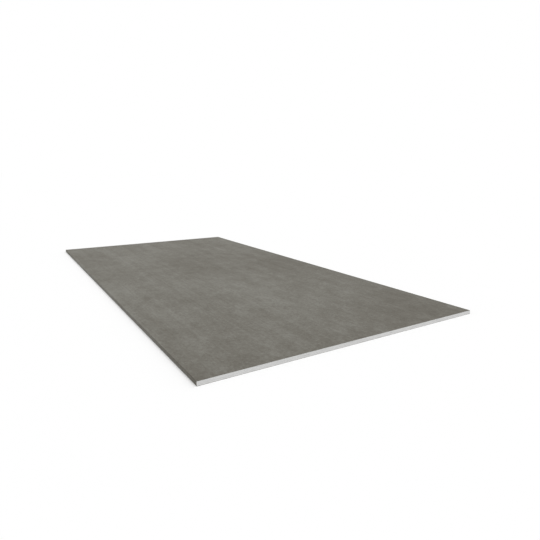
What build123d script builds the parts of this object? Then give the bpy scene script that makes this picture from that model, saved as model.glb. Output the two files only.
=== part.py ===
from build123d import *
import os

# Gypsum roof board: one flat sheet of stock, cast between two glass mats, lying on its back.
# The face mat wraps both long edges and ends in a narrow margin on the back,
# where the edge of the back mat is laid over it. The short ends are cut square.
# Millimetres: X across the board, Y along it, Z up from the middle of its back.

# Driving dimensions
LENGTH = 2438.4
WIDTH = 1219.2
THICKNESS = 15.9
EDGE_BEND_RADIUS = 1.6
BACK_MARGIN = 12.0
BACK_MAT_STEP = 0.5


def wrapped_core_section():
    """The core inside the face mat, with the mat's bends along all four long corners."""
    height = THICKNESS - BACK_MAT_STEP
    return Pos(0, BACK_MAT_STEP + height / 2) * RectangleRounded(WIDTH, height, EDGE_BEND_RADIUS)


def back_mat_section():
    """The back mat, standing proud of the margins that it leaves along the long edges."""
    return Pos(0, BACK_MAT_STEP / 2) * Rectangle(WIDTH - 2 * BACK_MARGIN, BACK_MAT_STEP)


def make_roof_board():
    """The whole section, run along the board's length between two square cuts."""
    section = wrapped_core_section() + back_mat_section()
    return extrude(Plane.XZ * section, amount=LENGTH / 2, both=True)


os.makedirs("parts", exist_ok=True)
export_step(make_roof_board(), "parts/roof_board.step")
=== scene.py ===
import math
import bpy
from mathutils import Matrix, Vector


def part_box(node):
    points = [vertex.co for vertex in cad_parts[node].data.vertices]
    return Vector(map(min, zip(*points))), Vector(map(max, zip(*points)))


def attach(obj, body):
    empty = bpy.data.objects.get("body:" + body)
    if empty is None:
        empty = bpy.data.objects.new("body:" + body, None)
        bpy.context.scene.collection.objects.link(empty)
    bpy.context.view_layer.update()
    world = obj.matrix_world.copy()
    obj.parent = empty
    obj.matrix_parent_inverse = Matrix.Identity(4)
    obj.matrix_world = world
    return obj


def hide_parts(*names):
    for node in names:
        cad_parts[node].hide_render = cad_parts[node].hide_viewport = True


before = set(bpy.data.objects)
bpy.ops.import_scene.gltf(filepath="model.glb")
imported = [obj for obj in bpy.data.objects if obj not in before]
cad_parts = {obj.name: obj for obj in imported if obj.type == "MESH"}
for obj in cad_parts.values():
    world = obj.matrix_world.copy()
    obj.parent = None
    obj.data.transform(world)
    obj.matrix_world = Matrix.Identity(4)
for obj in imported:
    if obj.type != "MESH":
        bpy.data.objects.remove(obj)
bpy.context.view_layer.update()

from types import SimpleNamespace
from typing import NamedTuple

import bpy
import numpy as np
from mathutils import Vector, noise

# The board's own box gives its size. Metres, with X across, Y along and Z up
PIECE = "gypsum_roof_board"
NODE = "roof_board"
BODY = "root"
LOW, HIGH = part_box(NODE)
WIDTH = HIGH.x - LOW.x
THICKNESS = HIGH.z - LOW.z

# The section's small sizes, as the solid has them, and the mats' own thickness
BEND_RADIUS = 0.0016
BACK_MARGIN = 0.012
BACK_MAT_STEP = 0.0005
MAT_THICKNESS = 0.0008

# How finely the board is meshed
BEND_STEPS = 3
ACROSS_STEP = 0.004
ALONG_STEP = 0.03
THROUGH_STEP = 0.0013
STEP_SLOPE = 0.0002
SHARP_ANGLE = math.radians(35)

# The board's axes and the angle between them, and its materials by their slot on its mesh
X, Y, Z = range(3)
RIGHT_ANGLE = math.radians(90)
FACE_MAT, BACK_MAT, CORE = range(3)

# The flat map for drawing the board's look: a strip for the face, back, two long edges and two ends
MAP_NAME = "OFBake"
MAP_STRIPS = (0.44, 0.36, 0.03, 0.03, 0.05, 0.05)
MAP_GAP = 0.0066

# How far the real surface strays from the true one, the length of its swells and their place in the noise
TOP_SWELL = 0.00015
TOP_SWELL_LENGTH = 0.30
EDGE_SWELL = 0.00015
EDGE_SWELL_LENGTH = 0.11
LAP_WANDER = 0.0010
LAP_WANDER_LENGTH = 0.16
SAWN_RECESS = 0.00010
SAWN_DEPTH = 0.00025
SAWN_LENGTH = 0.006
PLACE_STEP = Vector((1.0, 2.3, 5.1))
TOP_PLACE, EDGE_PLACE, LAP_PLACE, SAWN_PLACE = [PLACE_STEP * step for step in range(1, 5)]


class Blotches(NamedTuple):
    """A soft noise: its blotches' size on each axis, their detail, where it starts and its turn about Z."""
    size: tuple
    detail: float
    start: float
    turn: float = 0.0


class Pits(NamedTuple):
    """Round pits, one to a cell: the cells' spacing, and the least and largest radius as shares of it."""
    spacing: float
    least: float
    largest: float


# The mats' coating: clouds, patches and flocks, the bands and lines that it is drawn out into, and pits
# The clouds are random tone and also painted light: their start puts them lighter at the board's far-left
# corner and darker at its near-right corner, as the camera sees it
CLOUD_AND_PAINTED_LIGHT = Blotches((0.45, 0.70, 0.45), detail=2.0, start=29.0)
PATCH = Blotches((0.060, 0.085, 0.060), detail=4.0, start=14.0)
FLOCK = Blotches((0.010, 0.013, 0.010), detail=3.0, start=5.0)
BAND = Blotches((0.050, 2.2, 0.020), detail=2.0, start=2.0)
LINE = Blotches((0.009, 0.7, 0.005), detail=3.0, start=8.0)
MAT_PITS = Pits(0.006, 0.05, 0.13)

# The mats' glass fibres, which are the crests of noises drawn out in several directions
FIBRE_SIZE = (0.018, 0.0007, 0.0007)
FIBRE_DIRECTIONS = 6
FIBRE_FIRST_TURN = math.radians(9)
FIBRE_START_STEP = 3.7
FIBRE_CREST = (0.56, 0.76)

# How much each of these counts in a mat's tone and in its relief
CLOUD_AND_PAINTED_LIGHT_TONE = 0.7
PATCH_TONE = 0.55
FLOCK_TONE = 0.8
FIBRE_TONE = 0.6
PIT_TONE = 0.6
FACE_STREAK_TONE = 0.32
BACK_STREAK_TONE = 0.2
EDGE_STREAK_TONE = 1.5
FIBRE_RELIEF = 1.2
FLOCK_RELIEF = 0.5
PIT_RELIEF = 1.6

# The core's grain, shades, saw marks and uneven air pores, and the dense skin that has no pores
GRAIN = Blotches((0.0010, 0.0010, 0.0010), detail=4.0, start=0.0)
SHADE = Blotches((0.060, 0.060, 0.012), detail=3.0, start=4.0)
SAW_MARK = Blotches((0.090, 0.090, 0.0011), detail=2.0, start=9.0)
PORES = Pits(0.0024, 0.06, 0.26)
FINE_PORES = Pits(0.0009, 0.10, 0.30)
PORE_WOBBLE_SIZE = 0.0007
PORE_WOBBLE = 0.0006
DENSE_SKIN = 0.0030

# How much each of these counts in the core's tone and in its relief
GRAIN_TONE = 0.5
SHADE_TONE = 0.6
SAW_MARK_TONE = 0.5
# The pores' darker tone is painted shade in the holes; their relief is a bump
PORE_PAINTED_SHADE = 0.9
GRAIN_RELIEF = 0.5
SAW_MARK_RELIEF = 0.4
PORE_RELIEF = 1.6

# Finish: colours as 0 to 255 on a screen, each dark, middle and light, then roughness, gloss and relief
FACE_COLOURS = ((87, 83, 75), (109, 106, 98), (135, 134, 127))
BACK_COLOURS = ((104, 101, 95), (126, 123, 116), (150, 148, 141))
CORE_COLOURS = ((172, 172, 170), (206, 206, 205), (223, 223, 222))
MAT_ROUGHNESS = (0.74, 0.90)
MAT_GLOSS = 0.2
CORE_ROUGHNESS = 0.9
RELIEF_STRENGTH = 0.6
RELIEF_DEPTH = 0.0004

# Tones and reliefs, as 0 to 1: their middle, the noise that gives them and the flat share of a pit's radius
MIDDLE = 0.5
NOISE_RANGE = (0.3, 0.7)
NOISE_ROUGHNESS = 0.55
LEAST_DETAIL = 1.0
PIT_FLOOR = 0.7

# The camera, from the board's near corner in widths, with the picture's size in pixels
CAMERA_FROM_CORNER = Vector((-0.351, -0.885, 0.483))
CAMERA_HEADING = math.radians(31.755)
CAMERA_PITCH = math.radians(-12.686)
FOCAL_PIXELS = 448.3
PICTURE_PIXELS = 540
SENSOR_MM = 36.0

# Light, a part from all round and a part from a broad soft lamp, and the floor
WHITE = (1.0, 1.0, 1.0, 1.0)
SKY_LEVEL = 0.62
LAMP_LEVEL = 0.38
LAMP_ELEVATION = math.radians(58)
LAMP_HEADING = math.radians(-12)
LAMP_SPREAD = math.radians(50)
FLOOR_SIZE = 80.0
FLOOR_GAP = 0.0001
FLOOR_SHADE = 0.86


def linear(colour):
    """A screen colour of 0 to 255, by the sRGB curve, as the four linear numbers of a shader's socket."""
    shares = [c / 255 for c in colour]
    parts = [s / 12.92 if s <= 0.04045 else ((s + 0.055) / 1.055) ** 2.4 for s in shares]
    return (*parts, 1.0)


def new_object(name, data):
    """An object in the scene, made of a mesh, a lamp or a camera."""
    item = bpy.data.objects.new(name, data)
    bpy.context.scene.collection.objects.link(item)
    return item


# Nodes

def empty_tree(owner):
    """The node tree of a material or a world, with nothing in it yet."""
    owner.use_nodes = True
    owner.node_tree.nodes.clear()
    return owner.node_tree


def add(tree, kind, inputs=None, **settings):
    """Adds a node. Each input is a plain value or the socket of another node."""
    node = tree.nodes.new(kind)
    for name, value in settings.items():
        setattr(node, name, value)
    for socket, value in (inputs or {}).items():
        if isinstance(value, bpy.types.NodeSocket):
            tree.links.new(value, node.inputs[socket])
        else:
            node.inputs[socket].default_value = value
    return node


def math_node(tree, operation, first, second=0.0):
    """One sum on one or two values."""
    return add(tree, "ShaderNodeMath", {0: first, 1: second}, operation=operation).outputs[0]


def part_of(tree, place, axis):
    """One of a place's three numbers."""
    return add(tree, "ShaderNodeSeparateXYZ", {0: place}).outputs[axis]


def rescaled(tree, value, low, high, to_low=0.0, to_high=1.0):
    """A value's stretch from low to high, laid over to_low to to_high and cut off there."""
    inputs = {"Value": value, "From Min": low, "From Max": high, "To Min": to_low, "To Max": to_high}
    return add(tree, "ShaderNodeMapRange", inputs).outputs[0]


def weighted(tree, parts):
    """The middle plus each part's distance from the middle, times its weight."""
    total = MIDDLE
    for value, weight in parts:
        centred = math_node(tree, "SUBTRACT", value, MIDDLE)
        term = math_node(tree, "MULTIPLY", centred, weight)
        total = math_node(tree, "ADD", term, total)
    return total


def coloured(tree, tone, colours):
    """A colour for each tone, from the dark one at 0 through the middle one to the light one at 1."""
    dark, middle, light = [linear(colour) for colour in colours]
    ramp = add(tree, "ShaderNodeValToRGB", {"Fac": tone})
    stops = ramp.color_ramp.elements
    stops[0].color = dark
    stops[1].color = light
    stops.new(MIDDLE).color = middle
    return ramp.outputs["Color"]


def blotchy(tree, place, kind):
    """Soft noise, as 0 to 1, whose blotches may be turned about Z."""
    start = (kind.start, kind.start, kind.start)
    turn = (0.0, 0.0, kind.turn)
    inputs = {"Vector": place, "Location": start, "Rotation": turn, "Scale": kind.size}
    spot = add(tree, "ShaderNodeMapping", inputs, vector_type="TEXTURE").outputs[0]
    inputs = {"Vector": spot, "Scale": 1.0, "Detail": kind.detail, "Roughness": NOISE_ROUGHNESS}
    return add(tree, "ShaderNodeTexNoise", inputs).outputs["Fac"]


def wobbled(tree, place, size, reach):
    """A place that strays by up to half a reach each way, so that what is round there comes out uneven."""
    inputs = {"Vector": place, "Scale": 1 / size, "Detail": LEAST_DETAIL}
    stray = add(tree, "ShaderNodeTexNoise", inputs).outputs["Color"]
    from_middle = {0: stray, 1: (MIDDLE, MIDDLE, MIDDLE)}
    centred = add(tree, "ShaderNodeVectorMath", from_middle, operation="SUBTRACT")
    moved = {0: centred.outputs[0], 1: (reach, reach, reach), 2: place}
    return add(tree, "ShaderNodeVectorMath", moved, operation="MULTIPLY_ADD").outputs[0]


def pitted(tree, place, kind):
    """Round pits of many sizes: 0 on their floor and the middle outside them."""
    cells = add(tree, "ShaderNodeTexVoronoi", {"Vector": place, "Scale": 1 / kind.spacing})
    chance = add(tree, "ShaderNodeSeparateColor", {0: cells.outputs["Color"]}).outputs[0]
    radius = rescaled(tree, chance, 0.0, 1.0, kind.least, kind.largest)
    reach = math_node(tree, "DIVIDE", cells.outputs["Distance"], radius)
    return rescaled(tree, reach, PIT_FLOOR, 1.0, 0.0, MIDDLE)


def fibrous(tree, place):
    """Glass fibres lying every way in the mat: the middle between them and up to 1 on them."""
    highest = MIDDLE
    for index in range(FIBRE_DIRECTIONS):
        turn = FIBRE_FIRST_TURN + math.pi * index / FIBRE_DIRECTIONS
        thread = blotchy(tree, place, Blotches(FIBRE_SIZE, LEAST_DETAIL, FIBRE_START_STEP * index, turn))
        crest = rescaled(tree, thread, *FIBRE_CREST, MIDDLE, 1.0)
        highest = math_node(tree, "MAXIMUM", highest, crest)
    return highest


# Materials

def new_material(name):
    """A material, its tree and its shader, already on the output."""
    material = bpy.data.materials.new(name)
    tree = empty_tree(material)
    shader = add(tree, "ShaderNodeBsdfPrincipled")
    add(tree, "ShaderNodeOutputMaterial", {"Surface": shader.outputs[0]})
    return material, tree, shader


def roughen(tree, shader, relief):
    """Raises the surface where the relief is high."""
    inputs = {"Height": relief, "Strength": RELIEF_STRENGTH, "Distance": RELIEF_DEPTH}
    tree.links.new(add(tree, "ShaderNodeBump", inputs).outputs[0], shader.inputs["Normal"])


def drawn_out(tree, place, flat_streaks):
    """How strongly the coating is streaked: as given on the flats, and more where it wraps a long edge."""
    from_middle = math_node(tree, "ABSOLUTE", part_of(tree, place, X))
    bend_start = WIDTH / 2 - BEND_RADIUS
    bend_end = WIDTH / 2 - EDGE_SWELL
    return rescaled(tree, from_middle, bend_start, bend_end, flat_streaks, EDGE_STREAK_TONE)


def mat_material(name, colours, flat_streaks):
    """Coated glass mat: flocks of fibres under a cloudy coating that is drawn out along the board, its
    clouds partly a painted light gradient.
    """
    material, tree, shader = new_material(name)
    place = add(tree, "ShaderNodeTexCoord").outputs["Object"]
    threads = fibrous(tree, place)
    holes = pitted(tree, place, MAT_PITS)
    flock = blotchy(tree, place, FLOCK)
    streaks = drawn_out(tree, place, flat_streaks)
    tone = weighted(tree, [
        # The clouds carry painted light: lighter towards the far-left corner, darker at the near-right
        # corner
        (blotchy(tree, place, CLOUD_AND_PAINTED_LIGHT), CLOUD_AND_PAINTED_LIGHT_TONE),
        (blotchy(tree, place, PATCH), PATCH_TONE),
        (flock, FLOCK_TONE),
        (threads, FIBRE_TONE),
        (holes, PIT_TONE),
        (blotchy(tree, place, BAND), streaks),
        (blotchy(tree, place, LINE), streaks),
    ])
    relief = weighted(tree, [(threads, FIBRE_RELIEF), (flock, FLOCK_RELIEF), (holes, PIT_RELIEF)])
    tree.links.new(coloured(tree, tone, colours), shader.inputs["Base Color"])
    tree.links.new(rescaled(tree, flock, *NOISE_RANGE, *MAT_ROUGHNESS), shader.inputs["Roughness"])
    shader.inputs["Specular IOR Level"].default_value = MAT_GLOSS
    roughen(tree, shader, relief)
    return material


def core_pores(tree, place):
    """Air pores, coarse and fine, that stay out of the dense skin under each mat."""
    spot = wobbled(tree, place, PORE_WOBBLE_SIZE, PORE_WOBBLE)
    both = math_node(tree, "MINIMUM", pitted(tree, spot, PORES), pitted(tree, spot, FINE_PORES))
    from_mat = math_node(tree, "PINGPONG", part_of(tree, place, Z), THICKNESS / 2)
    skin = rescaled(tree, from_mat, DENSE_SKIN / 2, DENSE_SKIN, MIDDLE, 0.0)
    return math_node(tree, "MAXIMUM", both, skin)


def core_material():
    """Sawn gypsum: fine grain, air pores of many sizes darkened with painted shade, and the faint marks of
    the saw.
    """
    material, tree, shader = new_material("gypsum_core")
    place = add(tree, "ShaderNodeTexCoord").outputs["Object"]
    grain = blotchy(tree, place, GRAIN)
    shade = blotchy(tree, place, SHADE)
    saw_mark = blotchy(tree, place, SAW_MARK)
    pores = core_pores(tree, place)
    tone = weighted(tree, [
        (grain, GRAIN_TONE),
        (shade, SHADE_TONE),
        (saw_mark, SAW_MARK_TONE),
        # Darkening in the pores is painted shade
        (pores, PORE_PAINTED_SHADE),
    ])
    relief = weighted(tree, [(grain, GRAIN_RELIEF), (saw_mark, SAW_MARK_RELIEF), (pores, PORE_RELIEF)])
    tree.links.new(coloured(tree, tone, CORE_COLOURS), shader.inputs["Base Color"])
    shader.inputs["Roughness"].default_value = CORE_ROUGHNESS
    roughen(tree, shader, relief)
    return material


# The board's mesh, as the skin of a grid: columns across, rows through and stations along

def evenly(start, end, step):
    """Places from start to end, both included, about a step apart."""
    return np.linspace(start, end, max(2, round((end - start) / step) + 1))


def bend():
    """A bend from its middle to its end: how far each point lies in from either flat."""
    turn = np.linspace(RIGHT_ANGLE / 2, 0, BEND_STEPS + 1)
    return BEND_RADIUS * (1 - np.cos(turn)), BEND_RADIUS * (1 - np.sin(turn))


def column_lines():
    """Each column's x, and its depth below the flat top or above the flat back."""
    shallow, deep = bend()
    lap = BACK_MARGIN - WIDTH / 2
    margin = evenly(BEND_RADIUS - WIDTH / 2, lap, ACROSS_STEP)[1:]
    left = np.concatenate([deep - WIDTH / 2, margin])
    middle = evenly(lap + STEP_SLOPE, -lap - STEP_SLOPE, ACROSS_STEP)
    columns = np.concatenate([left, middle, -left[::-1]])
    depth = np.zeros_like(columns)
    depth[: len(shallow)] = shallow
    depth[-len(shallow):] = shallow[::-1]
    return columns, depth


def row_lines():
    """Each row's z from the top down, and how far it lies in from the long edge."""
    shallow, deep = bend()
    upper = THICKNESS - deep
    lower = BACK_MAT_STEP + deep[::-1]
    flat = evenly(lower[0], upper[-1], THROUGH_STEP)[::-1][1:-1]
    rows = np.concatenate([upper, flat, lower])
    inset = np.concatenate([shallow, np.zeros_like(flat), shallow[::-1]])
    return rows, inset


def skin_grid():
    """The grid's lines, the numbers of the points on its skin, and where on the grid each of them lies."""
    grid = SimpleNamespace()
    grid.columns, grid.depth = column_lines()
    grid.rows, grid.inset = row_lines()
    grid.stations = evenly(LOW.y, HIGH.y, ALONG_STEP)
    shape = (len(grid.columns), len(grid.rows), len(grid.stations))
    steps = np.indices(shape)
    last = [size - 1 for size in shape]
    outermost = [(step == 0) | (step == end) for step, end in zip(steps, last)]
    skin = np.any(outermost, axis=0)
    grid.number = np.full(shape, -1)
    grid.number[skin] = np.arange(skin.sum())
    grid.i, grid.j, grid.k = steps[:, skin]
    grid.on_edge, _, grid.on_end = [on_it[skin] for on_it in outermost]
    grid.on_top = grid.j == 0
    grid.on_back = grid.j == last[1]
    grid.over_back = (grid.j == last[1] - 1) & ~grid.on_edge
    grid.in_core = (grid.i > 1) & (grid.i < last[0] - 1) & (grid.j > 1) & (grid.j < last[1] - 1)
    return grid


def true_points(grid):
    """Where each point of the skin lies on a perfect board."""
    outward = np.where(grid.i == 0, -1.0, 1.0)
    edge_x = outward * (WIDTH / 2 - grid.inset[grid.j])
    x = np.where(grid.on_edge & ~grid.on_top & ~grid.on_back, edge_x, grid.columns[grid.i])
    on_margin = np.abs(grid.columns) > WIDTH / 2 - BACK_MARGIN - STEP_SLOPE / 2
    foot = (grid.depth + np.where(on_margin, BACK_MAT_STEP, 0.0))[grid.i]
    top = THICKNESS - grid.depth[grid.i]
    heights = [top, foot, foot + MAT_THICKNESS]
    z = np.select([grid.on_top, grid.on_back, grid.over_back], heights, grid.rows[grid.j])
    return np.stack([x, grid.stations[grid.k], z], axis=1)


def wavering(points, length, place):
    """Smooth noise of about -1 to 1 at each point, with swells about length metres long."""
    return np.array([noise.noise(Vector(point) / length + place) for point in points])


def strayed(grid, points):
    """The points of an uneven board, none moved outward: slack faces, a wandering lap and a rough core."""
    moves = np.zeros_like(points)
    sink = TOP_SWELL * (wavering(points, TOP_SWELL_LENGTH, TOP_PLACE) - 1.0) / 2
    moves[:, Z] += np.where(grid.on_top & (grid.depth[grid.i] == 0), sink, 0.0)
    outward = np.where(grid.i == 0, -1.0, 1.0)
    slack = EDGE_SWELL * (wavering(points, EDGE_SWELL_LENGTH, EDGE_PLACE) - 1.0) / 2
    moves[:, X] += np.where(grid.on_edge & (grid.inset[grid.j] == 0), outward * slack, 0.0)
    from_lap = np.abs(np.abs(grid.columns[grid.i]) - (WIDTH / 2 - BACK_MARGIN))
    wander = LAP_WANDER * wavering(points, LAP_WANDER_LENGTH, LAP_PLACE)
    moves[:, X] += np.where(grid.on_back & ~grid.on_end & (from_lap < 2 * STEP_SLOPE), wander, 0.0)
    inward = np.where(grid.k == 0, 1.0, -1.0)
    rough = SAWN_DEPTH * (wavering(points, SAWN_LENGTH, SAWN_PLACE) + 1.0) / 2
    moves[:, Y] += np.where(grid.on_end & grid.in_core, inward * (SAWN_RECESS + rough), 0.0)
    return points + moves


def mats_below(columns):
    """The mat under each step across: the back mat, between margins of the wrapped face mat."""
    middle = (columns[:-1] + columns[1:]) / 2
    return np.where(np.abs(middle) < WIDTH / 2 - BACK_MARGIN, BACK_MAT, FACE_MAT)


def end_kinds(below, through):
    """The material of each face on a cut end: core within, and the mats' cut edges round it."""
    kinds = np.full((len(below), through), CORE)
    kinds[:, 0] = FACE_MAT
    kinds[:, -1] = below
    kinds[[0, -1], :] = FACE_MAT
    return kinds


def board_sides(grid):
    """Each side's point numbers, whether its faces run the other way round, its materials and map axes."""
    across, through, along = [size - 1 for size in grid.number.shape]
    below = mats_below(grid.columns)
    face = np.full((across, along), FACE_MAT)
    back = np.repeat(below, along)
    edge = np.full((through, along), FACE_MAT)
    end = end_kinds(below, through)
    return [
        (grid.number[:, 0, :], False, face, X, Y),
        (grid.number[:, -1, :], True, back, X, Y),
        (grid.number[0, ::-1, :], False, edge, Z, Y),
        (grid.number[-1, ::-1, :], True, edge, Z, Y),
        (grid.number[:, :, 0], True, end, Z, X),
        (grid.number[:, :, -1], False, end, Z, X),
    ]


def grid_faces(number, turned):
    """Quads over one side of the grid, from the numbers of its points."""
    corners = [number[:-1, :-1], number[1:, :-1], number[1:, 1:], number[:-1, 1:]]
    quads = np.stack(corners[::-1] if turned else corners, axis=-1)
    return quads.reshape(-1, 4)


def board_shape():
    """The board's points and faces, each face's material and its corners' places on a flat map."""
    grid = skin_grid()
    points = true_points(grid)
    shares = (points - points.min(axis=0)) / np.ptp(points, axis=0)
    faces, kinds, spots = [], [], []
    strip = MAP_GAP / 2
    for (number, turned, kind, u_axis, v_axis), breadth in zip(board_sides(grid), MAP_STRIPS):
        quads = grid_faces(number, turned)
        u = shares[quads, u_axis]
        u = strip + breadth * (1 - u if turned else u)
        faces.append(quads)
        kinds.append(kind.ravel())
        spots.append(np.stack([u, shares[quads, v_axis]], axis=-1))
        strip += breadth + MAP_GAP
    return strayed(grid, points), np.concatenate(faces), np.concatenate(kinds), np.concatenate(spots)


def make_board():
    """The visible board, standing for its solid."""
    points, faces, kinds, spots = board_shape()
    mesh = bpy.data.meshes.new(PIECE)
    mesh.from_pydata(points.tolist(), [], faces.tolist())
    mesh.materials.append(mat_material("glass_mat_face", FACE_COLOURS, FACE_STREAK_TONE))
    mesh.materials.append(mat_material("glass_mat_back", BACK_COLOURS, BACK_STREAK_TONE))
    mesh.materials.append(core_material())
    mesh.polygons.foreach_set("material_index", kinds)
    mesh.uv_layers.new(name=MAP_NAME).uv.foreach_set("vector", spots.ravel())
    mesh.shade_smooth()
    mesh.set_sharp_from_angle(angle=SHARP_ANGLE)
    board = new_object(PIECE, mesh)
    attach(board, BODY)
    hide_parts(NODE)


# The stage

def in_view(tree):
    """1 for the rays that show a surface, straight or by gloss or glass, and 0 for the others."""
    path = add(tree, "ShaderNodeLightPath").outputs
    seen = math_node(tree, "MAXIMUM", path["Is Camera Ray"], path["Is Glossy Ray"])
    return math_node(tree, "MAXIMUM", seen, path["Is Transmission Ray"])


def floor_material():
    """A pale, dull material that shows white to the camera and keeps the shadows that fall on it."""
    material = bpy.data.materials.new("floor")
    tree = empty_tree(material)
    diffuse = add(tree, "ShaderNodeBsdfDiffuse", {"Color": (FLOOR_SHADE, FLOOR_SHADE, FLOOR_SHADE, 1.0)})
    lift = math_node(tree, "MULTIPLY", in_view(tree), 1.0 - FLOOR_SHADE)
    glow = add(tree, "ShaderNodeEmission", {"Color": WHITE, "Strength": lift})
    both = add(tree, "ShaderNodeAddShader", {0: diffuse.outputs[0], 1: glow.outputs[0]})
    add(tree, "ShaderNodeOutputMaterial", {"Surface": both.outputs[0]})
    return material


def make_floor():
    """A broad floor, just under the board."""
    half = FLOOR_SIZE / 2
    height = LOW.z - FLOOR_GAP
    corners = [(-half, -half, height), (half, -half, height), (half, half, height), (-half, half, height)]
    mesh = bpy.data.meshes.new("floor")
    mesh.from_pydata(corners, [], [(0, 1, 2, 3)])
    mesh.materials.append(floor_material())
    floor = new_object("floor", mesh)


def make_surround():
    """A white surround that lights the board from all sides."""
    world = bpy.data.worlds.new("surround")
    bpy.context.scene.world = world
    tree = empty_tree(world)
    level = rescaled(tree, in_view(tree), 0.0, 1.0, SKY_LEVEL, 1.0)
    sky = add(tree, "ShaderNodeBackground", {"Color": WHITE, "Strength": level})
    add(tree, "ShaderNodeOutputWorld", {"Surface": sky.outputs[0]})


def make_lamp():
    """One broad soft lamp from the front, above, as strong as its level asks on flat ground."""
    data = bpy.data.lights.new("lamp", "SUN")
    data.energy = LAMP_LEVEL * math.pi / math.sin(LAMP_ELEVATION)
    data.angle = LAMP_SPREAD
    lamp = new_object("lamp", data)
    lamp.rotation_euler = (RIGHT_ANGLE - LAMP_ELEVATION, 0, -LAMP_HEADING)


def place_camera():
    """The camera, looking at the board past its near corner."""
    data = bpy.data.cameras.new("camera")
    data.sensor_width = SENSOR_MM
    data.lens = FOCAL_PIXELS / PICTURE_PIXELS * SENSOR_MM
    camera = new_object("camera", data)
    camera.location = LOW + CAMERA_FROM_CORNER * WIDTH
    camera.rotation_euler = (RIGHT_ANGLE + CAMERA_PITCH, 0, -CAMERA_HEADING)
    bpy.context.scene.camera = camera


bpy.context.scene.view_settings.view_transform = "Standard"
make_board()
make_floor()
make_surround()
make_lamp()
place_camera()
